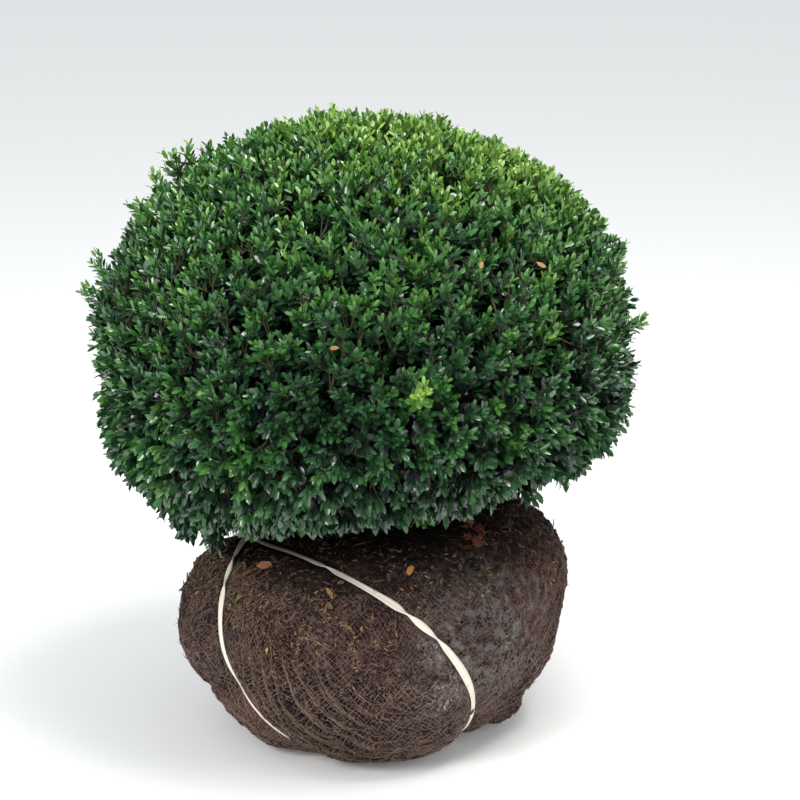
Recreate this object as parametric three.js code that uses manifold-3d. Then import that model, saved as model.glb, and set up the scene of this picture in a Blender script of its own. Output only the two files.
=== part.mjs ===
// A clipped box topiary ball on its netted root ball, tied with two flat bands, as a nursery
// delivers it for planting. Millimetres, +Z up. The origin is the centre of the root ball's flat
// underside. Each piece is worked out from the named sizes below.

import * as THREE from 'three';
import { mergeVertices } from 'three/addons/utils/BufferGeometryUtils.js';
import Module from 'manifold-3d';

const wasm = await Module();
wasm.setup();

// ---------------------------------------------------------------- driving dimensions

const GAP = 0.3; // left between two pieces that touch

// The root ball: a sagging, netted lump of soil, fuller above its waist than below.
const BALL = {
  detail: 9,
  waist: 132, // height of its widest level
  halfWidth: 219,
  halfDepth: 212,
  rise: 126, // from the waist to the top
  drop: 148, // from the waist down, before the foot is flattened
  upperFullness: 3.1,
  lowerFullness: 2.15,
  lean: 0.24, // how much higher the right shoulder stands than the left one
};

// Lobes and dents of the root ball: where they face (degrees round from +X, degrees up), how far
// they stand out, and how wide they are in degrees.
const LOBES = [
  { name: 'front belly', round: -92, up: -38, height: 12, spread: 30 },
  { name: 'left toe', round: -140, up: -40, height: 10, spread: 20 },
  { name: 'left notch', round: -147, up: -15, height: -13, spread: 12 },
  { name: 'left flank', round: 172, up: 8, height: 5, spread: 30 },
  { name: 'right flank', round: -12, up: 12, height: -4, spread: 26 },
  { name: 'right cut', round: -36, up: -15, height: -12, spread: 19 },
  { name: 'right toe', round: -58, up: -42, height: 7, spread: 16 },
  { name: 'right shoulder', round: 0, up: 34, height: 4, spread: 22 },
  { name: 'back belly', round: 84, up: -12, height: 8, spread: 34 },
  { name: 'back hollow', round: 128, up: 24, height: -9, spread: 24 },
  { name: 'left shoulder hollow', round: -172, up: 44, height: -8, spread: 24 },
];

// The two ties. Each runs once round the root ball in a plane, pressed into a squeezed furrow:
// the plane's normal, its distance from the origin, and how deep the band lies under the surface.
const TIE = { width: 9, thickness: 1.2, stations: 44, furrow: 9, furrowWidth: 24, channel: 12 };
const TIES = [
  { name: 'tie_left', normal: [0.948, -0.138, 0.287], offset: -99.1, bow: 35.8, depth: GAP },
  { name: 'tie_right', normal: [0.663, 0.512, 0.544], offset: 47.2, bow: -16.5, depth: 2.6 },
];

// The crown: one clipped mass, a flattened dome above its widest level and a full, nearly
// upright flank below it, which hangs lower on the left than on the right.
const CROWN = {
  detail: 12,
  centre: new THREE.Vector3(-5, 0, 474),
  radius: 306,
  rise: 237,
  hang: 228, // from the widest level to the underside
  leftSag: 32, // how much lower the left side hangs, and how much higher the right side ends
  frontLift: 26, // how much higher the front ends, and how much lower the back hangs
  domeFullness: 1.98,
  flankFullness: 3.5,
  hollowRadius: 205,
  hollowDepth: 66,
  clumpHeight: 2.2,
};
// Clumps of growth on the clipped surface: directions and numbers of waves across the crown.
const CLUMPS = [
  [19, 5, 9], [-7, 21, 8], [13, -15, 13], [5, 9, -21], [-17, -8, 14], [16, 17, -11],
];

// The stem: a short trunk that stands in the top of the root ball and runs up inside the crown.
const STEM = {
  foot: new THREE.Vector3(14, 4, 226),
  tip: new THREE.Vector3(2, 10, 436),
  bow: new THREE.Vector3(7, -5, 0),
  footRadius: 21,
  tipRadius: 8,
  flare: 13, // how much the root flare adds to the radius at the foot
  flareLobes: 4,
  flareRipple: 0.3,
  sides: 12,
  steps: 8,
};

// The boughs: limbs that leave the stem low down and rise outwards into the underside.
const BOUGH = {
  count: 6,
  firstTurn: 14, // degrees round from +X
  foot: new THREE.Vector3(11, 2, 266),
  stagger: 13, // how much higher every second bough leaves the stem
  reach: 150,
  rise: 96,
  sag: 16,
  footRadius: 8.6,
  tipRadius: 5,
  sides: 8,
  steps: 6,
};

// The stub: a limb cut short, to the right of the stem.
const STUB = {
  foot: new THREE.Vector3(112, -68, 238),
  tip: new THREE.Vector3(104, -62, 279),
  bow: new THREE.Vector3(3, 0, 0),
  footRadius: 9,
  tipRadius: 6.5,
};

// ---------------------------------------------------------------- shapes

const radians = THREE.MathUtils.degToRad;

/** A unit vector that faces `round` degrees from +X and `up` degrees above the level. */
function facing(round, up) {
  const level = Math.cos(radians(up));
  return new THREE.Vector3(
    level * Math.cos(radians(round)),
    level * Math.sin(radians(round)),
    Math.sin(radians(up)),
  );
}

/** How far a superellipse with these half-lengths reaches when it faces (across, up). */
function reachOf(across, up, fullness) {
  return (across ** fullness + up ** fullness) ** (-1 / fullness);
}

const lobes = LOBES.map((lobe) => ({ ...lobe, way: facing(lobe.round, lobe.up) }));
const ties = TIES.map((tie) => ({ ...tie, normal: new THREE.Vector3(...tie.normal).normalize() }));
const ballCentre = new THREE.Vector3(0, 0, BALL.waist);

/** How far a tie's plane has bowed along its normal at a height. */
function bowOf(tie, height) {
  return tie.bow * ((height - BALL.waist) / 100) ** 2;
}

/** The distance from the root ball's centre to its surface along a unit direction. */
function ballRadius(way) {
  const across = Math.hypot(way.x / BALL.halfWidth, way.y / BALL.halfDepth);
  const above = way.z > 0;
  let radius = reachOf(
    across,
    Math.abs(way.z) / (above ? BALL.rise : BALL.drop),
    above ? BALL.upperFullness : BALL.lowerFullness,
  );
  if (above) radius *= 1 + BALL.lean * way.x * way.z;
  for (const lobe of lobes) {
    const turn = Math.acos(THREE.MathUtils.clamp(way.dot(lobe.way), -1, 1));
    radius += lobe.height * Math.exp(-((turn / radians(lobe.spread)) ** 2));
  }
  const place = way.clone().multiplyScalar(radius).add(ballCentre);
  for (const tie of ties) {
    const away = place.dot(tie.normal) - tie.offset - bowOf(tie, place.z);
    radius -= TIE.furrow * Math.exp(-((away / TIE.furrowWidth) ** 2));
  }
  return way.z < 0 ? Math.min(radius, -ballCentre.z / way.z) : radius;
}

/** A point of the crown's clipped surface along a unit direction, grown outwards by `grow`. */
function crownPoint(way, grow = 0) {
  const level = Math.hypot(way.x, way.y);
  const across = level / CROWN.radius;
  const above = way.z > 0;
  const sag = (way.y * CROWN.frontLift - way.x * CROWN.leftSag) / Math.max(level, 0.3);
  let radius = above
    ? reachOf(across, way.z / CROWN.rise, CROWN.domeFullness)
    : reachOf(across, -way.z / (CROWN.hang + sag), CROWN.flankFullness);
  for (const [x, y, z] of CLUMPS) {
    radius += CROWN.clumpHeight * Math.sin(x * way.x + y * way.y + z * way.z + x);
  }
  const point = way.clone().multiplyScalar(radius + grow).add(CROWN.centre);
  const fromAxis = Math.hypot(point.x - CROWN.centre.x, point.y) / CROWN.hollowRadius;
  if (!above && fromAxis < 1) point.z += CROWN.hollowDepth * (1 - fromAxis ** 2) ** 1.5;
  return point;
}

/** A closed geometry round a centre: an even ball of facets, each point moved by `place`. */
function roundedMass(detail, place) {
  const geometry = new THREE.IcosahedronGeometry(1, detail);
  geometry.deleteAttribute('normal');
  geometry.deleteAttribute('uv');
  const merged = mergeVertices(geometry, 1e-5);
  const position = merged.attributes.position;
  const way = new THREE.Vector3();
  for (let i = 0; i < position.count; i++) {
    const point = place(way.fromBufferAttribute(position, i).normalize());
    position.setXYZ(i, point.x, point.y, point.z);
  }
  return merged;
}

/** A tapering limb between two points, bowed sideways, closed at both ends. */
function limb({ foot, tip, bow, footRadius, tipRadius, sides = 8, steps = 4,
  flare = 0, flareLobes = 0, flareRipple = 0 }, grow = 0) {
  const middle = foot.clone().lerp(tip, 0.5).add(bow);
  const line = new THREE.QuadraticBezierCurve3(foot, middle, tip);
  const { normals, binormals } = line.computeFrenetFrames(steps, false);
  const points = [];
  const faces = [];
  for (let i = 0; i <= steps; i++) {
    const along = i / steps;
    const centre = line.getPointAt(along);
    const spread = flare * Math.exp(-5 * along);
    for (let j = 0; j < sides; j++) {
      const turn = (2 * Math.PI * j) / sides;
      const radius = grow + THREE.MathUtils.lerp(footRadius, tipRadius, along)
        + spread * (1 + flareRipple * Math.cos(flareLobes * turn));
      points.push(centre.clone()
        .addScaledVector(normals[i], radius * Math.cos(turn))
        .addScaledVector(binormals[i], radius * Math.sin(turn)));
    }
  }
  for (let i = 0; i < steps; i++) {
    for (let j = 0; j < sides; j++) {
      const a = i * sides + j;
      const b = i * sides + ((j + 1) % sides);
      faces.push(a, b, a + sides, b, b + sides, a + sides);
    }
  }
  const last = steps * sides;
  for (let j = 1; j < sides - 1; j++) {
    faces.push(0, j + 1, j, last, last + j, last + j + 1);
  }
  return closedGeometry(points, faces);
}

/** The stations of a tie: where its plane cuts the root ball, going once round. */
function tiePath(tie) {
  const middle = ballCentre.clone()
    .addScaledVector(tie.normal, tie.offset - ballCentre.dot(tie.normal));
  const aside = new THREE.Vector3(0, 0, 1).cross(tie.normal).normalize();
  const upwards = tie.normal.clone().cross(aside);
  const onSheet = (out, distance) => {
    const flat = middle.clone().addScaledVector(out, distance);
    const point = flat.clone();
    for (let pass = 0; pass < 6; pass++) {
      point.copy(flat).addScaledVector(tie.normal, bowOf(tie, point.z));
    }
    return point;
  };
  const isInside = (point) => {
    const way = point.clone().sub(ballCentre);
    const distance = way.length();
    return distance < ballRadius(way.divideScalar(distance));
  };
  return Array.from({ length: TIE.stations }, (_, i) => {
    const turn = (2 * Math.PI * i) / TIE.stations;
    const out = aside.clone().multiplyScalar(Math.cos(turn))
      .addScaledVector(upwards, Math.sin(turn));
    let inside = 0;
    let outside = 2 * BALL.halfWidth;
    for (let halving = 0; halving < 32; halving++) {
      const half = (inside + outside) / 2;
      if (isInside(onSheet(out, half))) inside = half;
      else outside = half;
    }
    return onSheet(out, inside);
  });
}

/** The root ball's outward normal near a point of its surface. */
function ballNormal(point) {
  const way = point.clone().sub(ballCentre).normalize();
  const first = new THREE.Vector3(0, 0, 1).cross(way);
  if (first.lengthSq() < 1e-6) first.set(1, 0, 0);
  first.normalize();
  const second = way.clone().cross(first);
  const at = (side, lift) => {
    const turned = way.clone().addScaledVector(first, side).addScaledVector(second, lift);
    turned.normalize();
    return turned.multiplyScalar(ballRadius(turned)).add(ballCentre);
  };
  const step = 0.02;
  const across = at(step, 0).sub(at(-step, 0));
  const along = at(0, step).sub(at(0, -step));
  return across.cross(along).normalize();
}

/** A closed band along a tie's path, from `under` below the surface to `over` above it. */
function band(tie, halfWidth, under, over) {
  const path = tiePath(tie);
  const count = path.length;
  const points = [];
  const faces = [];
  path.forEach((place, i) => {
    const out = ballNormal(place);
    const along = path[(i + 1) % count].clone().sub(path[(i + count - 1) % count]);
    along.normalize();
    out.addScaledVector(along, -out.dot(along)).normalize();
    const side = along.cross(out).normalize();
    for (const [sideways, outwards] of [
      [-halfWidth, -under], [halfWidth, -under], [halfWidth, over], [-halfWidth, over],
    ]) {
      points.push(place.clone().addScaledVector(side, sideways).addScaledVector(out, outwards));
    }
  });
  for (let i = 0; i < count; i++) {
    const here = 4 * i;
    const next = 4 * ((i + 1) % count);
    for (let j = 0; j < 4; j++) {
      const k = (j + 1) % 4;
      faces.push(here + j, here + k, next + j, here + k, next + k, next + j);
    }
  }
  return closedGeometry(points, faces);
}

/** A geometry from points and triangles, turned round if its faces point inwards. */
function closedGeometry(points, faces) {
  const geometry = new THREE.BufferGeometry().setFromPoints(points);
  const volume = faces.reduce((sum, _, i) => (i % 3 ? sum : sum + points[faces[i]].clone()
    .cross(points[faces[i + 1]]).dot(points[faces[i + 2]])), 0);
  geometry.setIndex(volume < 0 ? faces.slice().reverse() : faces);
  return geometry;
}

// ---------------------------------------------------------------- cutting

/** A manifold-3d solid of an indexed, closed geometry. */
function solidOf(geometry) {
  return new wasm.Manifold(new wasm.Mesh({
    numProp: 3,
    vertProperties: new Float32Array(geometry.attributes.position.array),
    triVerts: new Uint32Array(geometry.index.array),
  }));
}

/** The three.js geometry of a manifold-3d solid. */
function geometryOf(solid) {
  const { vertProperties, triVerts } = solid.getMesh();
  const geometry = new THREE.BufferGeometry();
  geometry.setAttribute('position', new THREE.BufferAttribute(vertProperties, 3));
  geometry.setIndex(new THREE.BufferAttribute(triVerts, 1));
  return geometry;
}

/** A solid less each of the others. */
function lessAll(solid, others) {
  return others.reduce((left, other) => left.subtract(other), solid);
}

// ---------------------------------------------------------------- materials

const finishes = {
  netted_soil: new THREE.MeshStandardMaterial({ color: 0x3b302c, roughness: 0.95 }),
  band: new THREE.MeshStandardMaterial({ color: 0xd8c9a4, roughness: 0.6 }),
  bark: new THREE.MeshStandardMaterial({ color: 0x6b5a44, roughness: 0.9 }),
  foliage: new THREE.MeshStandardMaterial({ color: 0x35602a, roughness: 0.7 }),
};

// ---------------------------------------------------------------- the plant

const plant = new THREE.Group();

function addPart(name, solid, finish) {
  const mesh = new THREE.Mesh(geometryOf(solid), finishes[finish]);
  mesh.name = name;
  plant.add(mesh);
}

const stem = solidOf(limb(STEM));
const stemRoom = solidOf(limb(STEM, GAP));
const stub = solidOf(limb(STUB));
const stubRoom = solidOf(limb(STUB, GAP));
addPart('main_stem', stem, 'bark');
addPart('low_stub', stub, 'bark');

const crown = solidOf(roundedMass(CROWN.detail, (way) => crownPoint(way)));
const crownRoom = solidOf(roundedMass(CROWN.detail, (way) => crownPoint(way, GAP)));
addPart('crown', crown.subtract(stemRoom), 'foliage');

const earlierBoughs = [];
for (let i = 0; i < BOUGH.count; i++) {
  const way = facing(BOUGH.firstTurn + (360 * i) / BOUGH.count, 0);
  const foot = BOUGH.foot.clone().setZ(BOUGH.foot.z + BOUGH.stagger * (i % 2));
  const shape = {
    foot,
    tip: foot.clone().addScaledVector(way, BOUGH.reach).setZ(foot.z + BOUGH.rise),
    bow: new THREE.Vector3(0, 0, -BOUGH.sag),
    footRadius: BOUGH.footRadius,
    tipRadius: BOUGH.tipRadius,
    sides: BOUGH.sides,
    steps: BOUGH.steps,
  };
  const bough = lessAll(solidOf(limb(shape)), [stemRoom, crownRoom, ...earlierBoughs]);
  earlierBoughs.push(solidOf(limb(shape, GAP)));
  addPart(`bough_${i + 1}`, bough, 'bark');
}

const ball = solidOf(roundedMass(
  BALL.detail,
  (way) => way.clone().multiplyScalar(ballRadius(way)).add(ballCentre),
));
const channels = ties.map((tie) => solidOf(
  band(tie, TIE.width / 2 + 3 * GAP, tie.depth + TIE.thickness + 2 * GAP, TIE.channel),
));
addPart('root_ball', lessAll(ball, [stemRoom, stubRoom, ...channels]), 'netted_soil');
for (const tie of ties) {
  const tape = band(tie, TIE.width / 2, tie.depth + TIE.thickness, -tie.depth);
  addPart(tie.name, solidOf(tape), 'band');
}

export default plant;
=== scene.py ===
# %% [markdown]
# # A clipped box ball on its netted root ball
# This notebook builds the looks of a garden plant round a model that already has the right sizes.
# The model holds plain solids: one for the clipped crown, one for the root ball, one for each
# limb and tie. Here each solid is replaced by what it stands for: thousands of leaves on twigs,
# bark, a net full of roots, and flat bands of fibre.
#
# The first cell loads that model. Its solids give every place and size below.

# %% Load the frame
import math

import bmesh
import bpy
import numpy as np
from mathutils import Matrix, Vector, noise
from mathutils.bvhtree import BVHTree


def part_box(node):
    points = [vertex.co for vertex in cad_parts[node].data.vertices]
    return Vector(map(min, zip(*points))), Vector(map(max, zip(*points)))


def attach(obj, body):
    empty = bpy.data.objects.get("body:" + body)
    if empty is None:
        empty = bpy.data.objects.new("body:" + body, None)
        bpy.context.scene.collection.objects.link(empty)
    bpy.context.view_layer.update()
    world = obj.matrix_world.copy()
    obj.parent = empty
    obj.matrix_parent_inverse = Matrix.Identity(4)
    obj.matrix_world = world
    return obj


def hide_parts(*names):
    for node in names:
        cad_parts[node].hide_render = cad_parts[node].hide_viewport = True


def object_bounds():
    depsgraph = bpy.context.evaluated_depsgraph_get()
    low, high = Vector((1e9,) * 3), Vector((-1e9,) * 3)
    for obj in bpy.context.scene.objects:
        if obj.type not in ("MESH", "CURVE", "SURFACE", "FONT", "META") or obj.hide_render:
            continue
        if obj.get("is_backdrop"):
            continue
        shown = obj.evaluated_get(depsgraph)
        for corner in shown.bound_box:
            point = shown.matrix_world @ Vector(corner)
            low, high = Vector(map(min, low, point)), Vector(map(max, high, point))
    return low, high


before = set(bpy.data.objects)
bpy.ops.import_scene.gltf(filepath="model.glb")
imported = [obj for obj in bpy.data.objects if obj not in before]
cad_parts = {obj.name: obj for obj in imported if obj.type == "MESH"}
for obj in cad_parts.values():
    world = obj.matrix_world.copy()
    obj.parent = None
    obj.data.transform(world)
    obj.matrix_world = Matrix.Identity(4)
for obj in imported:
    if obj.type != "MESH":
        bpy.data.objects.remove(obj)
cad_low, cad_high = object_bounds()
MM = 0.001
BODY = "root"
print("the model is", [round((b - a) / MM) for a, b in zip(cad_low, cad_high)], "mm")

# %% [markdown]
# ## The camera and the light
# The plant stands on the floor and is seen from a little above, through a long lens from almost
# three metres away, so its sides stay nearly parallel. The camera only turns about its own
# level axis, so upright things stay upright.

# %% Camera
scene = bpy.context.scene
VIEW_PITCH = 16.0  # degrees below the level
VIEW_FROM = (0.034, -2.829, 1.196)
LENS = 117.3  # millimetres, on a sensor 36 mm wide

camera = bpy.data.objects.new("camera", bpy.data.cameras.new("camera"))
camera.data.lens = LENS
camera.data.sensor_width = 36.0
camera.location = VIEW_FROM
camera.rotation_euler = (math.radians(90.0 - VIEW_PITCH), 0.0, 0.0)
scene.collection.objects.link(camera)
scene.camera = camera
scene.view_settings.view_transform = "Standard"
print("camera", [round(c, 2) for c in camera.location], "lens", LENS)

# %% [markdown]
# ## Helpers for node trees
# Materials and Geometry Nodes are both trees of nodes with values running through them. A small
# class wraps one output socket, so that ordinary expressions such as `1 - mask * 0.5` add the
# Math nodes themselves. Everything else comes from one method, `add`, which takes the node's
# type, its settings and what goes into its sockets.

# %% Node helper
class Value:
    """One output of a node. Arithmetic on it adds Math nodes."""

    def __init__(self, graph, socket):
        self.graph = graph
        self.socket = socket

    def math(self, operation, *others):
        numbers = dict(enumerate((self, *others)))
        return self.graph.add("ShaderNodeMath", {"operation": operation}, numbers)

    def __add__(self, other):
        return self.math("ADD", other)

    def __sub__(self, other):
        return self.math("SUBTRACT", other)

    def __rsub__(self, other):
        return self.graph.add("ShaderNodeMath", {"operation": "SUBTRACT"}, {0: other, 1: self})

    def __mul__(self, other):
        return self.math("MULTIPLY", other)

    __radd__ = __add__
    __rmul__ = __mul__


class Graph:
    """A tree of nodes that is built by expressions."""

    def __init__(self, tree):
        self.tree = tree

    def add(self, kind, settings=None, inputs=None, output=0):
        """Adds a node, sets it up, feeds its sockets, and returns one of its outputs."""
        node = self.tree.nodes.new(kind)
        for key, value in (settings or {}).items():
            if key == "stops":
                self.set_stops(node.color_ramp, value)
            else:
                setattr(node, key, value)
        for key, value in (inputs or {}).items():
            self.feed(node.inputs[key], value)
        return Value(self, node.outputs[output])

    def feed(self, socket, value):
        """Links a value to a socket, or sets the socket's own number."""
        if isinstance(value, Value):
            self.tree.links.new(value.socket, socket)
        elif value is not None:
            socket.default_value = value

    @staticmethod
    def set_stops(ramp, stops):
        """Gives a colour ramp its stops: (position, colour or grey)."""
        while len(ramp.elements) < len(stops):
            ramp.elements.new(0.5)
        for element, (position, colour) in zip(ramp.elements, stops):
            element.position = position
            element.color = colour if len(colour) == 4 else (*colour, 1.0)


def paint(code):
    """The linear colour of a screen colour such as '4f7a35'."""
    parts = [int(code[i:i + 2], 16) / 255 for i in (0, 2, 4)]
    linear = [c / 12.92 if c <= 0.04045 else ((c + 0.055) / 1.055) ** 2.4 for c in parts]
    return (*linear, 1.0)


print("node helpers are ready")

# %% [markdown]
# ## The light
# The light is that of a bright, hazy day. A hazy sky is about three times as bright overhead as
# at the horizon, so the top of the plant is its brightest part and the gaps in its flanks stay
# dark. Three soft lights help: one above and to the right like a veiled sun, and two weaker ones
# that bring out the gloss of the leaves on the front and the sides.

# %% Lights and floor
def soft_light(name, place, size, power, colour=(1.0, 1.0, 1.0), aim=(0.0, 0.0, 0.4)):
    """A square soft light that faces a point, by default the middle of the plant."""
    data = bpy.data.lights.new(name, "AREA")
    data.shape = "SQUARE"
    data.size = size
    data.energy = power
    data.color = colour
    light = bpy.data.objects.new(name, data)
    light.location = place
    light.rotation_euler = (Vector(aim) - Vector(place)).to_track_quat("-Z", "Y").to_euler()
    scene.collection.objects.link(light)
    return light


soft_light("veiled_sun", (0.8, -0.6, 2.9), 1.2, 62.0, (1.0, 0.985, 0.94))
soft_light("front_light", (-2.0, -2.4, 2.2), 1.1, 66.0, (0.97, 0.99, 1.0))
soft_light("side_light", (2.6, -1.6, 1.8), 1.2, 11.0)

world = bpy.data.worlds.new("hazy_sky")
world.use_nodes = True
sky = Graph(world.node_tree)
sky_way = sky.add("ShaderNodeTexCoord", output="Generated")
sky_height = sky.add("ShaderNodeSeparateXYZ", None, {0: sky_way}, "Z")
sky_glow = sky.add("ShaderNodeMapRange", None, {
    "Value": sky_height, "From Min": 0.0, "From Max": 1.0, "To Min": 0.22, "To Max": 0.96})
sky_shader = world.node_tree.nodes["Background"]
sky_shader.inputs["Color"].default_value = (0.94, 0.97, 1.0, 1.0)
sky.feed(sky_shader.inputs["Strength"], sky_glow)
scene.world = world

FLOOR_HALF = 30.0
floor_mesh = bpy.data.meshes.new("floor")
floor_mesh.from_pydata(
    [(x * FLOOR_HALF, y * FLOOR_HALF, -0.0005) for x, y in ((-1, -1), (1, -1), (1, 1), (-1, 1))],
    [], [(0, 1, 2, 3)],
)
floor = bpy.data.objects.new("floor", floor_mesh)
scene.collection.objects.link(floor)
floor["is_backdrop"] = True
print("lights and floor are in place")

# %% [markdown]
# ## Materials
# A finish with a grain or stains is a small tree on Object coordinates, which stay fixed to the
# piece. The `Finish` class starts one: it holds the shader and offers noise, ramps, mixes and
# bumps. A leaf is different. Its colour belongs to the spray that it grows on, so each tint of
# green is a plain colour, and leaves are dealt out to the tints further down.

# %% Finish helper
class Finish(Graph):
    """A material built round one Principled shader."""

    def __init__(self, name, colour, roughness, **constants):
        self.material = bpy.data.materials.new(name)
        self.material.use_nodes = True
        super().__init__(self.material.node_tree)
        self.shader = self.tree.nodes["Principled BSDF"]
        self.material.diffuse_color = colour if not isinstance(colour, Value) else (1, 1, 1, 1)
        self.set_surface(**{"Base Color": colour, "Roughness": roughness}, **constants)

    def set_surface(self, **values):
        for key, value in values.items():
            self.feed(self.shader.inputs[key.replace("_", " ")], value)

    def place(self, scale=(1.0, 1.0, 1.0)):
        """Object coordinates, stretched."""
        where = self.add("ShaderNodeTexCoord", output="Object")
        return self.add("ShaderNodeMapping", None, {"Vector": where, "Scale": scale})

    def grain(self, where, scale, detail=4.0, roughness=0.55, distortion=0.0):
        """Noise from 0 to 1."""
        return self.add("ShaderNodeTexNoise", None, {
            "Vector": where, "Scale": scale, "Detail": detail, "Roughness": roughness,
            "Distortion": distortion})

    def step(self, value, low, high):
        """A smooth rise from 0 to 1 as value goes from low to high."""
        return self.add("ShaderNodeMapRange", {"interpolation_type": "SMOOTHSTEP"}, {
            "Value": value, "From Min": low, "From Max": high})

    def mix(self, share, first, second, blend="MIX"):
        """One colour laid over another by a share."""
        node = self.tree.nodes.new("ShaderNodeMix")
        node.data_type = "RGBA"  # its colour sockets are numbers 6 and 7, and its result is 2
        node.blend_type = blend
        self.feed(node.inputs[0], share)
        self.feed(node.inputs[6], first)
        self.feed(node.inputs[7], second)
        return Value(self, node.outputs[2])

    def ramp(self, value, *stops):
        """A colour that changes along a value."""
        return self.add("ShaderNodeValToRGB", {"stops": stops}, {"Fac": value})

    def relief(self, height, depth, under=None):
        """A bump from a height between 0 and 1, `depth` metres deep."""
        inputs = {"Height": height, "Distance": depth, "Strength": 1.0}
        if under is not None:
            inputs["Normal"] = under
        bump = self.add("ShaderNodeBump", None, inputs)
        self.feed(self.shader.inputs["Normal"], bump)
        return bump


floor_finish = Finish("pale_floor", paint("f6f6f5"), 0.85, Emission_Strength=0.10)
floor_finish.set_surface(Emission_Color=(1.0, 1.0, 1.0, 1.0))
floor_mesh.materials.append(floor_finish.material)
print("finish helper is ready")

# %% [markdown]
# ## Helpers for meshes and Geometry Nodes
# A source object holds only points or lines, with a few attributes such as a direction or a
# radius. A Geometry Nodes tree turns it into the real mesh, and `grown` keeps that result as a
# plain object and throws the source away.

# %% Mesh helpers
def linked(name, mesh):
    """A new object in the scene that holds a mesh, at the origin."""
    piece = bpy.data.objects.new(name, mesh)
    scene.collection.objects.link(piece)
    return piece


def mesh_of(name, points, edges=(), faces=()):
    """A mesh from arrays of points and of edges or faces."""
    mesh = bpy.data.meshes.new(name)
    mesh.from_pydata(np.asarray(points, float).reshape(-1, 3).tolist(), list(edges), list(faces))
    return mesh


def set_attribute(mesh, name, values):
    """Stores a number or a vector for each point."""
    values = np.asarray(values, np.float32)
    if values.ndim == 2:
        mesh.attributes.new(name, "FLOAT_VECTOR", "POINT").data.foreach_set(
            "vector", values.ravel())
    else:
        mesh.attributes.new(name, "FLOAT", "POINT").data.foreach_set("value", values)


def grown(name, source, tree, **values):
    """The plain mesh object that a Geometry Nodes tree makes of a source object."""
    modifier = source.modifiers.new(tree.name, "NODES")
    modifier.node_group = tree
    sockets = {s.name.lower(): s for s in tree.interface.items_tree if s.in_out == "INPUT"}
    for key, value in values.items():
        modifier[sockets[key.replace("_", " ")].identifier] = value
    depsgraph = bpy.context.evaluated_depsgraph_get()
    mesh = bpy.data.meshes.new_from_object(source.evaluated_get(depsgraph), depsgraph=depsgraph)
    mesh.name = name
    bpy.data.objects.remove(source)
    return linked(name, mesh)


def placed(piece, slot, *nodes):
    """Hangs a finished piece on its carrier and hides the solids it replaces; slot, what it is made
    of, is not used.
    """
    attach(piece, BODY)
    if nodes:
        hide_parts(*nodes)
    triangles = sum(len(p.vertices) - 2 for p in piece.data.polygons)
    print(f"{piece.name}: {triangles} triangles")
    return piece


def surface_of(node):
    """A CAD solid as a tree for shooting rays at."""
    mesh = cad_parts[node].data
    return BVHTree.FromPolygons(
        [v.co for v in mesh.vertices], [tuple(p.vertices) for p in mesh.polygons])


def unit(vectors):
    """Vectors scaled to length 1."""
    return vectors / np.maximum(np.linalg.norm(vectors, axis=-1, keepdims=True), 1e-9)


def reach(surface, centre, ways):
    """How far a surface lies from a centre along each direction."""
    centre = Vector(centre)
    hits = (surface.ray_cast(centre, Vector(way))[3] for way in ways)
    return np.array([hit if hit is not None else np.nan for hit in hits])


print("mesh helpers are ready")

# %% [markdown]
# Every Geometry Nodes tree here has the same frame: named inputs, a result, smooth shading and a
# material. `new_tree` makes the inputs, and `close_tree` adds the last three nodes.

# %% Geometry Nodes helpers
SOCKETS = {
    "geometry": "NodeSocketGeometry", "object": "NodeSocketObject", "number": "NodeSocketFloat",
    "count": "NodeSocketInt", "material": "NodeSocketMaterial",
}


def new_tree(name, **inputs):
    """A Geometry Nodes tree and its named inputs as values."""
    tree = bpy.data.node_groups.new(name, "GeometryNodeTree")
    for label, kind in inputs.items():
        tree.interface.new_socket(
            label.replace("_", " "), in_out="INPUT", socket_type=SOCKETS[kind])
    tree.interface.new_socket("result", in_out="OUTPUT", socket_type=SOCKETS["geometry"])
    graph = Graph(tree)
    entry = tree.nodes.new("NodeGroupInput")
    return graph, {label: Value(graph, entry.outputs[i]) for i, label in enumerate(inputs)}


def close_tree(graph, shape, material, smooth=True):
    """Makes instances real, shades them, gives them their material and ends the tree."""
    real = graph.add("GeometryNodeRealizeInstances", None, {0: shape})
    shaded = graph.add("GeometryNodeSetShadeSmooth", None, {0: real, "Shade Smooth": smooth})
    done = graph.add("GeometryNodeSetMaterial", None, {0: shaded, "Material": material})
    graph.tree.links.new(done.socket, graph.tree.nodes.new("NodeGroupOutput").inputs[0])


def named(graph, name, data_type):
    """A stored attribute as a value."""
    return graph.add("GeometryNodeInputNamedAttribute", {"data_type": data_type}, {"Name": name})


print("Geometry Nodes helpers are ready")

# %% [markdown]
# ## The tree that draws limbs
# Twigs, net threads and roots are all the same thing to a modeller: a line with a thickness. The
# tree turns each line into a curve, sets its radius from an attribute, and sweeps a ring of a few
# sides along it. Three sides are enough for a twig as thick as a match.

# %% Limb tree
limb_graph, limb_in = new_tree("draw_limbs", lines="geometry", sides="count", material="material")
limb_curve = limb_graph.add("GeometryNodeMeshToCurve", None, {0: limb_in["lines"]})
limb_curve = limb_graph.add("GeometryNodeSetCurveRadius", None, {
    0: limb_curve, "Radius": named(limb_graph, "thickness", "FLOAT")})
limb_ring = limb_graph.add("GeometryNodeCurvePrimitiveCircle", None, {
    "Resolution": limb_in["sides"], "Radius": 1.0})
limb_skin = limb_graph.add("GeometryNodeCurveToMesh", None, {
    "Curve": limb_curve, "Profile Curve": limb_ring, "Fill Caps": True,
    "Scale": named(limb_graph, "thickness", "FLOAT")})
close_tree(limb_graph, limb_skin, limb_in["material"])


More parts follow.
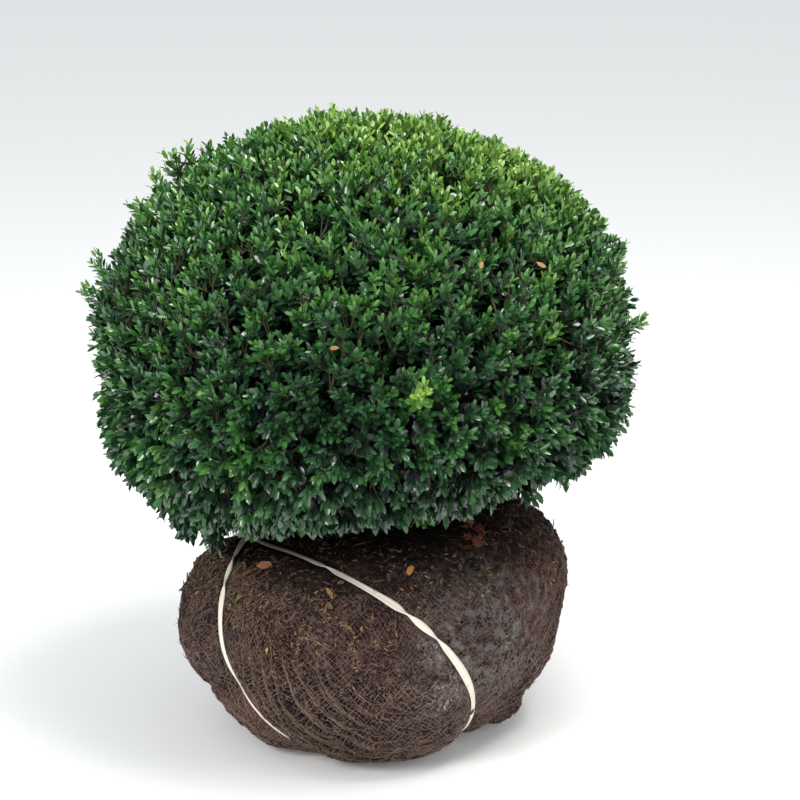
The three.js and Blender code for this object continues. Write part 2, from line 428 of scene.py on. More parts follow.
def drawn(name, lines, thickness, sides, material):
    """One piece of limbs: `lines` is limbs by points by 3, `thickness` is limbs by points."""
    lines = np.asarray(lines)
    limbs, points = lines.shape[:2]
    starts = np.arange(limbs)[:, None] * points + np.arange(points - 1)[None, :]
    starts = starts.ravel()
    mesh = mesh_of(name, lines.reshape(-1, 3), np.stack([starts, starts + 1], 1).tolist())
    set_attribute(mesh, "thickness", np.asarray(thickness).ravel())
    return grown(name, linked(name, mesh), limb_graph.tree, sides=sides, material=material)


print("limb tree is ready")

# %% [markdown]
# ## The shape of a box leaf
# A box leaf is oval, a little wider towards the tip, about 15 mm long, leathery and glossy. It
# folds a little along its midrib and its tip curls down. Eight triangles show all of that: four
# on each side of the midrib. A young leaf is narrower and cupped upwards, and an old one is
# broader with its edges turned under. Y runs along the leaf, and Z is its upper side.

# %% Leaf shapes
def leaf_shape(name, half_width, edge_lift, curl, blunt):
    """A leaf of length 1: its outline, the fold at the midrib and the curl of the tip."""
    spine = [0.0, 0.36, 0.74, 1.0]
    sides = [(0.33, 0.88), (0.78, blunt)]

    def lifted(x, y):
        return (x, y, edge_lift * abs(x) / half_width - curl * y * y)

    points = [lifted(0.0, y) for y in spine]
    points += [lifted(-half_width * share, y) for y, share in sides]
    points += [lifted(half_width * share, y) for y, share in sides]
    faces = [(0, 1, 4), (4, 1, 2), (4, 2, 5), (5, 2, 3), (0, 6, 1), (6, 2, 1), (6, 7, 2), (7, 3, 2)]
    return linked(name, mesh_of(name, points, (), faces))


leaf_shapes = {
    "young": leaf_shape("leaf_young", 0.21, 0.07, 0.06, 0.80),
    "grown": leaf_shape("leaf_grown", 0.25, -0.045, 0.14, 0.86),
}
print("leaf shapes:", sorted(leaf_shapes))

# %% [markdown]
# The tree that deals leaves puts one leaf on each point. A point knows which way its leaf points
# (`along`), which way its upper side faces (`facing`) and how long it is (`size`). Axes to
# Rotation turns the first two into a rotation.

# %% Leaf tree
leaf_graph, leaf_in = new_tree(
    "deal_leaves", places="geometry", leaf="object", material="material")
leaf_turn = leaf_graph.add(
    "FunctionNodeAxesToRotation", {"primary_axis": "Y", "secondary_axis": "Z"}, {
        "Primary Axis": named(leaf_graph, "along", "FLOAT_VECTOR"),
        "Secondary Axis": named(leaf_graph, "facing", "FLOAT_VECTOR")})
leaf_copy = leaf_graph.add("GeometryNodeObjectInfo", None, {"Object": leaf_in["leaf"]}, "Geometry")
leaf_points = leaf_graph.add("GeometryNodeMeshToPoints", None, {0: leaf_in["places"]})
leaf_all = leaf_graph.add("GeometryNodeInstanceOnPoints", None, {
    "Points": leaf_points, "Instance": leaf_copy, "Rotation": leaf_turn,
    "Scale": named(leaf_graph, "size", "FLOAT")})
close_tree(leaf_graph, leaf_all, leaf_in["material"])


def dealt(name, places, along, facing, size, shape, material):
    """One piece of leaves of one shape and tint."""
    mesh = mesh_of(name, places)
    set_attribute(mesh, "along", along)
    set_attribute(mesh, "facing", facing)
    set_attribute(mesh, "size", size)
    return grown(name, linked(name, mesh), leaf_graph.tree,
                 leaf=leaf_shapes[shape], material=material)


print("leaf tree is ready")

# %% [markdown]
# ## Where the crown's surface is
# The clipped crown is one solid in the model. Shooting a ray from its centre in any direction
# gives the distance to the clipped surface, so a share of that distance names a depth: 1 is the
# surface and 0.5 is half way in. All branching below is written with such shares.

# %% Crown surface
crown_low, crown_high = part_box("crown")
CROWN_CENTRE = np.array([
    (crown_low.x + crown_high.x) / 2, (crown_low.y + crown_high.y) / 2, 0.474])
crown_surface = surface_of("crown")
rng = np.random.default_rng(20)
GOLDEN = math.pi * (3.0 - math.sqrt(5.0))


def spread_ways(count, lowest, shake):
    """Directions spread evenly from straight up down to a lowest height, then shaken."""
    order = np.arange(count) + 0.5
    height = 1.0 - (1.0 - lowest) * order / count
    level = np.sqrt(1.0 - height * height)
    ways = np.stack([level * np.cos(GOLDEN * order), level * np.sin(GOLDEN * order), height], 1)
    return unit(ways + rng.normal(0.0, shake / math.sqrt(count), ways.shape))


def in_crown(ways, share):
    """Points at a share of the way from the crown's centre to its surface."""
    distance = reach(crown_surface, CROWN_CENTRE, ways)
    distance = np.where(np.isnan(distance), np.nanmean(distance), distance)
    return CROWN_CENTRE + ways * (distance * share)[:, None]


def outward(points):
    """Roughly the crown's outward direction at points near its surface."""
    half = np.array([0.31, 0.31, 0.24])
    return unit((points - CROWN_CENTRE) / half ** 2)


print("crown centre", CROWN_CENTRE.round(3), "from", [round(c, 3) for c in crown_low])

# %% [markdown]
# ## The branching rule
# A box bush branches again and again, and clipping makes it branch most near its surface. The
# rule works in rounds. Each round spreads more points at a shallower depth, and joins each point
# to the nearest end of the round before by a curved limb, thinner than its parent. The first
# round starts at the ends of the model's boughs and at the stem's tip, so the twigs grow on from
# the limbs that are already there.

# %% Limb ends of the model
def node_points(node):
    """The corners of a CAD solid."""
    return np.array([v.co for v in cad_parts[node].data.vertices])


def far_end(node, start):
    """The middle of a limb's far end, and the direction that it leaves in."""
    corners = node_points(node)
    away = np.linalg.norm(corners - start, axis=1)
    end = corners[away > away.max() - 0.010].mean(0)
    return end, unit(end - start)


BOUGHS = sorted(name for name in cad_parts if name.startswith("bough_"))
_, stem_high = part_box("main_stem")
stem_points = node_points("main_stem")
stem_top = stem_points[stem_points[:, 2] > stem_high.z - 0.012].mean(0)
fork = np.array([stem_top[0] + 0.009, stem_top[1] - 0.008, 0.270])
ends = [far_end(name, fork) for name in BOUGHS]
for share in (0.35, 0.6, 0.85, 1.0):
    ends.append((fork + (stem_top - fork) * share, np.array([0.0, 0.0, 1.0])))
limb_ends = np.array([end for end, _ in ends])
limb_ways = np.array([way for _, way in ends])
print(len(BOUGHS), "boughs and", len(limb_ends) - len(BOUGHS), "places on the stem to grow from")

# %% Rounds of branching
ROUNDS = [
    # ends, depth, lowest height, thickness at foot and tip in mm, points along a limb, sides
    {"count": 26, "share": 0.44, "lowest": -0.70, "thick": (5.2, 3.6), "points": 7, "sides": 6},
    {"count": 120, "share": 0.66, "lowest": -0.72, "thick": (3.4, 2.3), "points": 6, "sides": 5},
    {"count": 640, "share": 0.82, "lowest": -0.76, "thick": (2.1, 1.4), "points": 5, "sides": 4},
    {"count": 2600, "share": 0.905, "lowest": -0.79, "thick": (1.3, 0.9), "points": 4, "sides": 3},
]


def nearest(points, others):
    """For each point, the number of the nearest of the others."""
    found = np.empty(len(points), int)
    for first in range(0, len(points), 500):
        some = points[first:first + 500]
        gap = ((some[:, None, :] - others[None, :, :]) ** 2).sum(2)
        found[first:first + 500] = gap.argmin(1)
    return found


def curved(feet, foot_ways, tips, tip_ways, points):
    """Smooth lines that leave each foot and reach each tip in the given directions."""
    length = np.linalg.norm(tips - feet, axis=1, keepdims=True)
    second = feet + foot_ways * length * 0.38
    third = tips - tip_ways * length * 0.34
    along = np.linspace(0.0, 1.0, points)[None, :, None]
    back = 1.0 - along
    return (back ** 3 * feet[:, None] + 3 * back ** 2 * along * second[:, None]
            + 3 * back * along ** 2 * third[:, None] + along ** 3 * tips[:, None])


branch_finish = Finish("inner_branch", paint("4c3d2d"), 0.8)
twig_finish = Finish("green_twig", paint("434628"), 0.6)

start_points, start_ways = limb_ends, limb_ways
for number, stage in enumerate(ROUNDS, 1):
    ways = spread_ways(stage["count"], stage["lowest"], 0.9)
    tips = in_crown(ways, stage["share"] + rng.uniform(-0.02, 0.02, stage["count"]))
    parent = nearest(tips, start_points)
    feet = start_points[parent]
    tip_ways = unit(unit(tips - feet) + 0.5 * outward(tips) + rng.normal(0, 0.18, tips.shape))
    lines = curved(feet, start_ways[parent], tips, tip_ways, stage["points"])
    foot_mm, tip_mm = stage["thick"]
    thickness = np.linspace(foot_mm, tip_mm, stage["points"]) * MM
    thickness = thickness[None, :] * rng.uniform(0.85, 1.15, (stage["count"], 1))
    finish = branch_finish if number < 4 else twig_finish
    piece = drawn(f"branches_{number}", lines, thickness, stage["sides"], finish.material)
    placed(piece, "bark", *(["crown"] if number == 1 else []))
    start_points, start_ways = tips, tip_ways

# %% [markdown]
# ## The shoots
# The last round is the one that is seen. Each cut has made a twig branch just below the shears,
# so the short leafy shoots stand in tufts of three, some 20 mm apart, with dark gaps
# between them. On top they stand up, on the flanks they lean out and up, and at the bottom they
# hang a little. Some tufts stop short of the clipped surface and a few have grown past it.

# %% Steps and sprigs
def rise_between(values, low, high):
    """0 below low, 1 above high and smooth between them."""
    share = np.clip((values - low) / (high - low), 0.0, 1.0)
    return share * share * (3.0 - 2.0 * share)


LIFTED_EDGE = unit(np.array([0.45, -0.60, -0.66]))  # where the lower edge is cut higher
SPRIGS = [
    # direction from the crown's centre, how far past the clipped surface in mm, tints lighter, for
    # young growth and partly as painted light
    ((-0.75, 0.18, 0.63), 20, 1.4), ((-0.71, 0.19, 0.68), 12, 1.4), ((-0.81, 0.16, 0.57), 12, 1.2),
    ((-0.88, 0.13, 0.46), 10, 1.2), ((-0.97, 0.07, 0.25), 10, 1.0), ((-0.99, 0.03, 0.12), 9, 1.0),
    ((1.00, 0.01, 0.03), 7, 0.8), ((0.19, -0.98, 0.02), 8, 3.7), ((-0.66, -0.21, -0.72), 7, 0.0),
    ((-0.61, -0.25, -0.75), 4, 0.0), ((-0.55, -0.35, -0.76), 5, 0.0), ((-0.70, -0.10, -0.71), 2, 0.0),
    ((0.55, 0.80, 0.22), 12, 0.6), ((-0.36, 0.88, 0.31), 13, 0.5), ((0.10, 0.72, 0.69), 11, 0.8),
    ((0.86, 0.46, -0.20), 10, 0.3),
]
print(len(SPRIGS), "sprigs have outgrown the shears")

# %% Tufts
TUFTS = 2350
EACH = 3
UP = np.array([0.0, 0.0, 1.0])
tuft_ways = spread_ways(TUFTS, -0.80, 1.0)
tuft_level = tuft_ways[:, 2]
tuft_share = 0.962 + rng.normal(0.0, 0.012, TUFTS)
chance = rng.random(TUFTS)
tuft_share -= np.where(chance < 0.08, rng.uniform(0.03, 0.06, TUFTS), 0.0)
tuft_share += np.where(chance > 0.95, rng.uniform(0.012, 0.035, TUFTS), 0.0)
tuft_share -= 0.028 * rise_between(-tuft_level, 0.4, 0.7)  # room for the leaves that hang
tuft_share -= 0.030 * np.exp(-(((tuft_ways - LIFTED_EDGE) ** 2).sum(1) / 0.4 ** 2))
tuft_share -= 0.050 * rng.random(TUFTS) * rise_between(-tuft_level, 0.35, 0.7)
tuft_tips = in_crown(tuft_ways, tuft_share)
tuft_out = outward(tuft_tips)
for way, past, _ in SPRIGS:
    chosen = ((tuft_ways - unit(np.array(way))) ** 2).sum(1).argmin()
    tuft_tips[chosen] = in_crown(tuft_ways[chosen:chosen + 1], 1.0)[0] + tuft_ways[chosen] * past * MM
lift = np.interp(tuft_level, [-0.8, -0.5, -0.1, 0.3, 1.0], [-0.25, 0.0, 0.5, 0.8, 0.4])
tuft_axis = unit(tuft_out + lift[:, None] * UP + rng.normal(0.0, 0.16, tuft_tips.shape))
tuft_side = unit(np.cross(tuft_axis, rng.normal(size=(TUFTS, 3))))
tuft_back = np.cross(tuft_axis, tuft_side)
print(TUFTS, "tufts of", EACH, "shoots")

# %% Shoots
SHOOTS = TUFTS * EACH
turn = rng.uniform(0, 2 * math.pi, (TUFTS, 1)) + np.arange(EACH) * (2 * math.pi / EACH)
turn = turn + rng.normal(0.0, 0.3, turn.shape)
away = rng.uniform(0.003, 0.010, (TUFTS, EACH))
aside = away[..., None] * (np.cos(turn)[..., None] * tuft_side[:, None]
                           + np.sin(turn)[..., None] * tuft_back[:, None])
shoot_axis = unit(tuft_axis[:, None] + aside / 0.030 + rng.normal(0, 0.10, (TUFTS, EACH, 3)))
shoot_tips = tuft_tips[:, None] + aside
shoot_tips = shoot_tips - shoot_axis * rng.uniform(0.0, 0.012, (TUFTS, EACH))[..., None]
shoot_axis = shoot_axis.reshape(-1, 3)
shoot_tips = shoot_tips.reshape(-1, 3)
tuft_of = np.repeat(np.arange(TUFTS), EACH)
shoot_out = tuft_out[tuft_of]
shoot_level = tuft_level[tuft_of]
shoot_length = rng.uniform(0.034, 0.046, SHOOTS)
shoot_feet = shoot_tips - shoot_axis * shoot_length[:, None]
tuft_feet = shoot_feet.reshape(TUFTS, EACH, 3).mean(1)
parent = nearest(tuft_feet, start_points)[tuft_of]
feet = start_points[parent]
lines = curved(feet, start_ways[parent], shoot_tips, shoot_axis, 4)
thickness = np.array([0.9, 0.8, 0.65, 0.4]) * MM
piece = drawn("shoots", lines, np.repeat(thickness[None, :], SHOOTS, 0), 3, twig_finish.material)
placed(piece, "bark")

# %% [markdown]
# ## The leaves and their tints
# Box leaves sit in pairs, each pair turned a quarter round from the last. Near the tip they stand
# almost upright and make a small rosette; further down they spread. Every leaf also turns its
# upper side towards the light, the more so low on the bush.
#
# The tint goes by spray. What decides it is how much sky the shoot sees: tufts that face the sky
# get lighter greens, partly for their paler young growth and partly as painted light, and tufts low
# on the bush get darker greens as painted shade. Slow changes from place to place and a little chance
# are added, and the youngest leaves of a shoot are lighter than the oldest: their own young green,
# with painted shade on the older leaves further in. Each step of that scale is one plain green.

# %% Tints of green
# The steps run from painted shade at the dark end to painted light at the light end, with the paler
# green of young growth mixed into the lightest steps.
TINTS = [
    # near-black, as painted shade on the leaves deep in the bush
    ("leaf_inner", "080e09", 0.60),
    ("leaf_shade", "1a3022", 0.31),
    ("leaf_deep", "274a2d", 0.29),
    ("leaf_dark", "305e31", 0.29),
    ("leaf_mid", "407434", 0.29),
    ("leaf_fresh", "558738", 0.30),
    ("leaf_light", "749d40", 0.34),
    ("leaf_new", "94b852", 0.38),
]
tint_finishes = [
    Finish(name, paint(code), rough, Specular_IOR_Level=0.15 if name == "leaf_inner" else 1.0)
    for name, code, rough in TINTS]
print(len(tint_finishes), "tints")


# %% Slow changes from place to place
def patches(points, size, seed):
    """Noise from about -1 to 1 that changes over a length in metres."""
    shift = Vector((seed * 7.3, seed * 3.1, seed * 5.7))
    return np.array([noise.noise(Vector(p) / size + shift) for p in points]) * 1.6


SKY = unit(np.array([0.26, 0.05, 0.95]))
LIT_FLANK = unit(np.array([-0.80, -0.58, 0.10]))  # the flank with the most young growth
sky_seen = tuft_out @ SKY
# Tufts that face the sky get lighter steps, partly for young growth and partly as painted light.
tuft_tint = 2.2 + 1.4 * rise_between(sky_seen, 0.0, 0.75) + 1.8 * rise_between(sky_seen, 0.74, 1.0)
# Tufts low on the bush get darker steps: painted shade.
tuft_tint -= 0.6 * rise_between(-tuft_level, 0.25, 0.7)
tuft_tint += 0.6 * patches(tuft_tips, 0.075, 1) + 0.4 * patches(tuft_tips, 0.03, 2)
tuft_tint += rng.normal(0.0, 0.5, TUFTS)
# The left front flank gets lighter steps, partly for its young growth and partly as painted light.
tuft_tint += 1.1 * np.exp(-(((tuft_ways - LIT_FLANK) ** 2).sum(1) / 0.55 ** 2))
for way, _, lighter in SPRIGS:
    tuft_tint[((tuft_ways - unit(np.array(way))) ** 2).sum(1).argmin()] += lighter
shoot_tint = tuft_tint[tuft_of] + rng.normal(0.0, 0.3, SHOOTS)
print("shoot tints from", shoot_tint.min().round(1), "to", shoot_tint.max().round(1))

# %% Leaf places
PAIRS = 7
pair = np.arange(PAIRS)
youth = pair / (PAIRS - 1)  # 0 at the shoot's oldest pair, 1 at its tip
any_side = unit(np.cross(shoot_axis, rng.normal(size=(SHOOTS, 3))))
other_side = np.cross(shoot_axis, any_side)
first_turn = rng.uniform(0.0, math.pi, SHOOTS)
low_down = rise_between(-shoot_level, -0.15, 0.55)[:, None]


def spray(side_sign):
    """The leaves on one side of every shoot, as arrays of shoots by pairs."""
    shape = (SHOOTS, PAIRS)
    turn = first_turn[:, None] + pair[None, :] * (math.pi / 2) + rng.normal(0, 0.2, shape)
    side = (np.cos(turn)[..., None] * any_side[:, None]
            + np.sin(turn)[..., None] * other_side[:, None]) * side_sign
    spread = np.radians(64 - 42 * youth)[None, :] + rng.normal(0, 0.13, shape)
    axis = np.repeat(shoot_axis[:, None], PAIRS, 1)
    along = np.cos(spread)[..., None] * axis + np.sin(spread)[..., None] * side
    facing = np.sin(spread)[..., None] * axis - np.cos(spread)[..., None] * side
    low = low_down[..., None]
    along = unit(along + np.array([0.0, 0.0, -0.45]) * low)
    light = unit(shoot_out + 0.6 * UP)[:, None]
    facing = unit(facing + (0.12 + 0.6 * low) * light + rng.normal(0, 0.12, facing.shape))
    from_tip = shoot_length[:, None] * (1.0 - youth[None, :]) * 0.9
    places = shoot_tips[:, None] - axis * from_tip[..., None]
    size = (0.0148 - 0.0038 * youth[None, :] ** 2) * (1.0 + 0.45 * low_down)
    size = size * rng.uniform(0.8, 1.18, shape)
    # Leaves near the tip get lighter steps for their young green, and those near the foot darker ones
    # as painted shade further in.
    tint = shoot_tint[:, None] + 2.4 * youth[None, :] ** 1.5 - 1.6 + rng.normal(0, 0.3, shape)
    tint = np.maximum(tint, 1.0)
    is_young = np.repeat((youth > 0.6)[None, :], SHOOTS, 0)
    return [a.reshape(-1, *a.shape[2:]) for a in (places, along, facing, size, tint, is_young)]


def inner_leaves(count):
    """Leaves further in, which close the view into the bush; their near-black tint is painted shade.
    """
    ways = spread_ways(count, -0.74, 1.2)
    places = in_crown(ways, rng.uniform(0.70, 0.87, count))
    out = outward(places)
    along = unit(out * 0.4 + rng.normal(0, 0.6, places.shape))
    facing = unit(out + 0.5 * UP + rng.normal(0, 0.3, places.shape))
    size = rng.uniform(0.020, 0.027, count)
    return [places, along, facing, size, np.zeros(count), np.zeros(count, bool)]


leaves = [np.concatenate(both) for both in zip(spray(1), spray(-1), inner_leaves(12500))]
leaf_tint = np.clip(leaves[4].round().astype(int), 0, len(TINTS) - 1)
print(len(leaf_tint), "leaves, by tint:", np.bincount(leaf_tint, minlength=len(TINTS)).tolist())

# %% Deal the leaves out
MOST_LEAVES = 24000  # of eight triangles each, in one piece
for index, finish in enumerate(tint_finishes):
    for shape, wanted in (("grown", False), ("young", True)):
        chosen = np.flatnonzero((leaf_tint == index) & (leaves[5] == wanted))
        for part, first in enumerate(range(0, len(chosen), MOST_LEAVES)):
            some = chosen[first:first + MOST_LEAVES]
            places, along, facing, size = (column[some] for column in leaves[:4])
            name = f"{finish.material.name}_{shape}" + (f"_{part + 1}" if part else "")
            piece = dealt(name, places, along, facing, size, shape, finish.material)
            placed(piece, "foliage")

# %% Dry leaves
DRY_SPOTS = [
    # direction from the crown's centre, leaves there
    ((0.64, -0.66, 0.39), 1), ((0.45, -0.79, 0.42), 1), ((-0.06, -0.98, 0.16), 1),
    ((-0.70, 0.68, 0.20), 2), ((0.30, 0.92, -0.20), 1), ((0.80, -0.10, -0.58), 1),
]
dry_ways = unit(np.concatenate([np.repeat([way], count, 0) for way, count in DRY_SPOTS]))
dry_places = in_crown(unit(dry_ways + rng.normal(0, 0.012, dry_ways.shape)), 0.985)
dry_facing = unit(outward(dry_places) + rng.normal(0, 0.25, dry_places.shape))
dry_along = unit(np.cross(dry_facing, rng.normal(size=dry_places.shape)))
dry_size = rng.uniform(0.009, 0.012, len(dry_places))
dry_leaf = Finish("dry_leaf", paint("96704a"), 0.7)
placed(dealt("leaves_dry", dry_places, dry_along, dry_facing, dry_size, "grown", dry_leaf.material),
       "foliage")

# %% [markdown]
# ## The root ball
# The root ball is a lump of soil full of roots, lifted in a net. The model's solid gives its
# lobes and the furrows under the ties. The finished mesh starts as an even sphere of small
# triangles, each point sent out along its own ray to that solid. Facets and the narrow channels
# for the ties are smoothed away, and then folds, lumps and crumbs are added along the rays.

# %% Root ball mesh
BALL_CENTRE = np.array([0.0, 0.0, 0.132])
BALL_RADIUS = 0.2  # roughly, for the folds
ball_solid = surface_of("root_ball")


def even_sphere(subdivisions):
    """Directions and triangles of a finely divided icosahedron."""
    work = bmesh.new()
    bmesh.ops.create_icosphere(work, subdivisions=subdivisions, radius=1.0)
    ways = unit(np.array([v.co for v in work.verts]))
    faces = np.array([[v.index for v in f.verts] for f in work.faces])
    work.free()
    return ways, faces


ball_ways, ball_faces = even_sphere(8)
ball_reach = reach(ball_solid, BALL_CENTRE, ball_ways)
edge_from = ball_faces.ravel()
edge_to = np.roll(ball_faces, -1, axis=1).ravel()
neighbours = np.bincount(edge_from, minlength=len(ball_ways))


def smoothed(values, passes):
    """Each value replaced by the mean of its neighbours, several times."""
    for _ in range(passes):
        total = np.bincount(edge_from, weights=values[edge_to], minlength=len(values))
        values = 0.3 * values + 0.7 * total / neighbours
    return values


for _ in range(4):
    ball_reach = np.maximum(ball_reach, smoothed(ball_reach, 20) - 0.0005)
ball_reach = smoothed(ball_reach, 45)
print(len(ball_faces), "triangles, radius", ball_reach.min().round(3), "to", ball_reach.max().round(3))

# %% [markdown]
# ### The ties' paths
# Each tie's solid is a flat band bent into a loop, so its corners come in fours, one four for
# each station. Sorted by their angle round the loop and averaged in fours, they give the band's
# middle line back, which is then walked in even steps and rounded off.

# %% Tie paths
def rounded_off(path, passes):
    """A closed path whose corners are eased several times over."""
    for _ in range(passes):
        path = (np.roll(path, 1, 0) + 2 * path + np.roll(path, -1, 0)) / 4
    return path


def loop_path(node, stations=240):
    """The middle line of a looped band, as evenly spaced points on a smooth closed curve."""
    corners = np.unique(node_points(node).round(5), axis=0)
    middle = corners.mean(0)
    _, _, axes = np.linalg.svd(corners - middle)
    angle = np.arctan2((corners - middle) @ axes[1], (corners - middle) @ axes[0])
    order = np.argsort(angle)
    widest_gap = np.diff(angle[order]).argmax() + 1  # a place between two stations
    line = corners[np.roll(order, -widest_gap)].reshape(-1, 4, 3).mean(1)
    closed = np.vstack([line, line[:1]])
    run = np.concatenate([[0.0], np.cumsum(np.linalg.norm(np.diff(closed, axis=0), axis=1))])
    even = np.linspace(0.0, run[-1], stations, endpoint=False)
    path = np.stack([np.interp(even, run, closed[:, axis]) for axis in range(3)], 1)
    return rounded_off(path, 14)


tie_paths = {name: loop_path(name) for name in ("tie_left", "tie_right")}
for name, path in tie_paths.items():
    length = np.linalg.norm(path - np.roll(path, 1, 0), axis=1).sum()
    print(name, "is", round(length / MM), "mm round")

# %% [markdown]
# ### Folds, lumps and crumbs
# The net is gathered where the ties squeeze it, so it lies in folds: they sweep down from the
# left tie across the belly and close up towards the foot. Seen from outside, the folds of one
# gather are arcs about a hub. So a gather is told by the way it faces, its hub and the spacing of
# its folds, and both the relief and the threads that lie along it are worked out from those.

# %% Gathers of the net
GATHERS = [
    # faces, hub (right, up), size of the patch, spacing and height of the folds, in metres
    {"faces": (-0.33, -0.88, -0.34), "hub": (0.13, 0.11), "size": 0.096, "step": 0.0165,
     "height": 0.0088},
    {"faces": (0.20, -0.86, -0.48), "hub": (-0.02, 0.24), "size": 0.070, "step": 0.0125,
     "height": 0.0024},
    {"faces": (-0.97, -0.10, -0.15), "hub": (0.20, 0.10), "size": 0.085, "step": 0.0170,
     "height": 0.0036},
    {"faces": (0.95, -0.20, -0.20), "hub": (-0.16, 0.16), "size": 0.080, "step": 0.0160,
     "height": 0.0030},
    {"faces": (0.45, 0.87, -0.15), "hub": (0.14, 0.13), "size": 0.095, "step": 0.0160,
     "height": 0.0044},
    {"faces": (-0.50, 0.84, -0.20), "hub": (-0.05, 0.20), "size": 0.090, "step": 0.0150,
     "height": 0.0036},
]


def flat_axes(gather):
    """The way a gather faces, and which way is right and up in front of it."""
    faces = unit(np.array(gather["faces"]))
    right = unit(np.cross([0.0, 0.0, 1.0], faces))
    return faces, right, np.cross(faces, right)


def folds(ways, points, gather, seed):
    """The height of a gather's folds at each direction."""
    faces, right, up = flat_axes(gather)
    ahead = np.maximum(ways @ faces, 0.2)
    across = (ways @ right) / ahead * BALL_RADIUS
    above = (ways @ up) / ahead * BALL_RADIUS
    patch = np.exp(-((across ** 2 + above ** 2) / gather["size"] ** 2) ** 1.5)
    run = np.hypot(across - gather["hub"][0], above - gather["hub"][1])
    run = run + 0.30 * gather["step"] * patches(points, 0.05, seed)
    crest = np.abs(np.cos(math.pi * run / gather["step"])) ** 1.2
    return gather["height"] * patch * (crest * (1 + 0.4 * patches(points, 0.03, seed + 1)) - 0.6)


def gap_to_path(points, path):
    """How far points are from the nearest point of a path."""
    gap = np.empty(len(points))
    for first in range(0, len(points), 4000):
        some = points[first:first + 4000]
        gap[first:first + 4000] = np.sqrt(((some[:, None] - path[None]) ** 2).sum(2).min(1))
    return gap


def gap_to_line(points, start, end):
    """How far points are from a straight stretch."""
    start, end = np.array(start), np.array(end)
    share = np.clip((points - start) @ (end - start) / ((end - start) @ (end - start)), 0, 1)
    return np.linalg.norm(points - start - share[:, None] * (end - start), axis=1)


# %% Relief of the root ball
MARKS = [
    # what it is, one end, the other end, height and spread, in metres
    ("crease", (-0.192, -0.020, 0.050), (-0.150, -0.120, 0.088), -0.0100, 0.010),
    ("toe", (-0.165, -0.035, 0.022), (-0.125, -0.090, 0.020), 0.0040, 0.020),
    ("knob", (0.140, -0.037, 0.014), (0.165, -0.033, 0.028), 0.0150, 0.011),
]
SETTLED = 0.0010  # the whole skin sits this much lower, so that the crumbs end up level
ball_points = BALL_CENTRE + ball_ways * ball_reach[:, None]
tie_gap = np.minimum(*(gap_to_path(ball_points, path) for path in tie_paths.values()))
relief = 0.0
for number, gather in enumerate(GATHERS):
    relief = relief + folds(ball_ways, ball_points, gather, 30 + 2 * number)
relief = relief + 0.0032 * patches(ball_points, 0.060, 3) + 0.0016 * patches(ball_points, 0.022, 4)
relief = relief * rise_between(tie_gap, 0.005, 0.022)
relief += 0.0012 * np.exp(-(((tie_gap - 0.018) / 0.008) ** 2))
relief -= 0.0020 * np.exp(-((tie_gap / 0.007) ** 2))
for _, start, end, height, spread in MARKS:
    relief += height * np.exp(-((gap_to_line(ball_points, start, end) / spread) ** 2))
crumbs = 0.0011 * patches(ball_points, 0.008, 5) + 0.0008 * patches(ball_points, 0.0040, 6)
relief += crumbs * rise_between(tie_gap, 0.004, 0.010)
relief -= SETTLED
relief *= rise_between(ball_points[:, 2], 0.0, 0.018)
# How deep each point lies in the dips of the relief, for the painted shade in the soil's colour.
ball_dip_shade = np.clip((smoothed(relief, 60) - relief) / 0.0030, 0.0, 1.0)
ball_points = BALL_CENTRE + ball_ways * (ball_reach + relief)[:, None]
ball_points[:, 2] = np.maximum(ball_points[:, 2], 0.0)
print("relief from", (relief.min() / MM).round(1), "to", (relief.max() / MM).round(1), "mm")

# %% [markdown]
# ### Soil seen through the net
# The soil's own colour runs from nearly black to brown in fine patches. It is grey-brown where the
# net and fine roots dry out on the surface, and rusty where bark and fibre lie. White specks of
# mould sit in a few places. The dips of the relief and the top round the trunk are painted
# near-black: painted shade, on the top the crown's shadow. All of these are masks, from noise at
# the right sizes, from the distance to a place, and from the relief, mixed one over the other.

# %% Soil finish
MOULD_SPOTS = [
    # place and radius, in metres
    ((0.066, -0.198, 0.161), 0.026), ((0.094, -0.185, 0.121), 0.032),
    ((0.132, -0.159, 0.215), 0.028), ((0.16, -0.14, 0.15), 0.036),
    ((0.075, -0.188, 0.10), 0.03), ((-0.10, 0.19, 0.12), 0.04),
]
soil = Finish("netted_soil", (0.05, 0.04, 0.035, 1), 0.92, Specular_IOR_Level=0.2)
here = soil.place()


def near_place(place, radius):
    """1 at a place on the root ball, and 0 beyond a radius from it."""
    gap = soil.add("ShaderNodeVectorMath", {"operation": "DISTANCE"}, {0: here, 1: place}, "Value")
    return soil.step(radius - gap, 0.0, radius * 0.7)


middling = soil.grain(here, 34.0, 4.0, 0.6)
fine = soil.grain(here, 230.0, 4.0, 0.75)
speck = soil.grain(here, 620.0, 2.0, 0.8)
colour = soil.ramp(fine * 0.7 + middling * 0.3, (0.41, paint("0a0302")), (0.50, paint("2b1713")),
                   (0.60, paint("6d544c")))
rust = near_place((0.19, -0.10, 0.20), 0.085) + near_place((-0.16, -0.14, 0.07), 0.07)
rust = rust + soil.step(soil.grain(here, 9.0, 3.0), 0.56, 0.70) * 0.5
colour = soil.mix(rust * soil.step(middling, 0.35, 0.6) * 0.6, colour, paint("5e362b"))
dusty = soil.step(soil.grain(here, 90.0, 5.0, 0.75), 0.44, 0.62)
colour = soil.mix(near_place((0.14, -0.15, 0.16), 0.14) * dusty * 0.70, colour, paint("767878"))
colour = soil.mix(soil.step(speck, 0.58, 0.68) * 0.6, colour, paint("a3928a"))
toe = near_place((-0.150, -0.070, 0.040), 0.07)
colour = soil.mix(toe * 0.4, colour, paint("5a3b31"))
mould = near_place(*MOULD_SPOTS[0])
for spot in MOULD_SPOTS[1:]:
    mould = mould + near_place(*spot)
mould = mould * soil.step(soil.grain(here, 150.0, 6.0, 0.8, 1.2), 0.52, 0.66)
